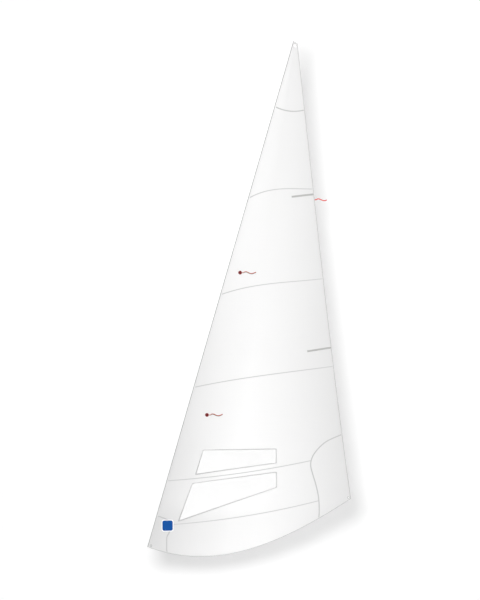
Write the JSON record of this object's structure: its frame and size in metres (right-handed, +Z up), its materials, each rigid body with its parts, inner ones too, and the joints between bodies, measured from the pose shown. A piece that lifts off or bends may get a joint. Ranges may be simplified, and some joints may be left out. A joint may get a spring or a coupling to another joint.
{
  "type": "jib sail",
  "caption": "Cross-cut dinghy jib with a wired luff sleeve, clear windows, leech battens in pockets, ringed corners and swinging telltales.",
  "frame": {"origin": "tack corner of the sail, where the luff meets the foot", "axes": "+Z up, +X aft along the foot, +Y to starboard, away from the picture's camera and towards the belly"},
  "size_m": [2.0348, 0.1524, 5.1608],
  "materials": {
    "sail_cloth": "matt woven polyester",
    "edge_tape": "matt woven tape",
    "window_film": "clear",
    "pocket_cloth": "matt",
    "batten_fibreglass": "satin",
    "ring_metal": "polished",
    "luff_wire": "satin",
    "telltale_red": "matt",
    "telltale_green": "matt",
    "label_blue": "matt"
  },
  "bodies": {
    "sail": {"batten_pocket_lower": "pocket_cloth", "batten_pocket_upper": "pocket_cloth", "clew_patch_port": "sail_cloth", "clew_patch_starboard": "sail_cloth", "clew_ring": "ring_metal", "clew_washer": "ring_metal", "foot_tape": "edge_tape", "head_patch_port": "sail_cloth", "head_patch_starboard": "sail_cloth", "head_ring": "ring_metal", "head_washer": "ring_metal", "leech_tape_lower": "edge_tape", "leech_tape_middle": "edge_tape", "leech_tape_upper": "edge_tape", "luff_sleeve": "edge_tape", "luff_wire": "luff_wire", "panel_1_foot": "sail_cloth", "panel_2_tack": "sail_cloth", "panel_3_window": "sail_cloth", "panel_4_lower": "sail_cloth", "panel_5_upper": "sail_cloth", "panel_6_head": "sail_cloth", "tack_label": "label_blue", "tack_patch_port": "sail_cloth", "tack_patch_starboard": "sail_cloth", "tack_ring": "ring_metal", "tack_washer": "ring_metal", "telltale_dot_lower_port": "telltale_red", "telltale_dot_lower_starboard": "telltale_green", "telltale_dot_upper_port": "telltale_red", "telltale_dot_upper_starboard": "telltale_green", "window_lower": "window_film", "window_upper": "window_film"},
    "batten_upper": {"batten_upper": "batten_fibreglass"},
    "batten_lower": {"batten_lower": "batten_fibreglass"},
    "telltale_upper_port": {"telltale_upper_port": "telltale_red"},
    "telltale_upper_starboard": {"telltale_upper_starboard": "telltale_green"},
    "telltale_lower_port": {"telltale_lower_port": "telltale_red"},
    "telltale_lower_starboard": {"telltale_lower_starboard": "telltale_green"},
    "telltale_leech": {"telltale_leech": "telltale_red"}
  },
  "joints": [
    {"name": "batten_upper_slide", "type": "slide", "parent": "sail", "child": "batten_upper", "axis": [0.9883, -0.1009, 0.1144], "range_m": [0, 0.23]},
    {"name": "batten_lower_slide", "type": "slide", "parent": "sail", "child": "batten_lower", "axis": [0.9791, -0.1316, 0.1551], "range_m": [0, 0.25]},
    {"name": "telltale_upper_port_swing", "type": "hinge", "parent": "sail", "child": "telltale_upper_port", "pos_m": [0.95207, 0.07137, 2.743], "axis": [0.3201, -0.9409, -0.1105], "range_deg": [-80, 80]},
    {"name": "telltale_upper_starboard_swing", "type": "hinge", "parent": "sail", "child": "telltale_upper_starboard", "pos_m": [0.95207, 0.07177, 2.743], "axis": [-0.3201, 0.9409, 0.1105], "range_deg": [-80, 80]},
    {"name": "telltale_lower_port_swing", "type": "hinge", "parent": "sail", "child": "telltale_lower_port", "pos_m": [0.62024, 0.10029, 1.318], "axis": [0.25, -0.9661, -0.0641], "range_deg": [-80, 80]},
    {"name": "telltale_lower_starboard_swing", "type": "hinge", "parent": "sail", "child": "telltale_lower_starboard", "pos_m": [0.62024, 0.10069, 1.318], "axis": [-0.25, 0.9661, 0.0641], "range_deg": [-80, 80]},
    {"name": "telltale_leech_swing", "type": "hinge", "parent": "sail", "child": "telltale_leech", "pos_m": [1.67834, 0.038, 3.472], "axis": [0.1005, 0.9947, 0.0225], "range_deg": [-60, 60]}
  ]
}
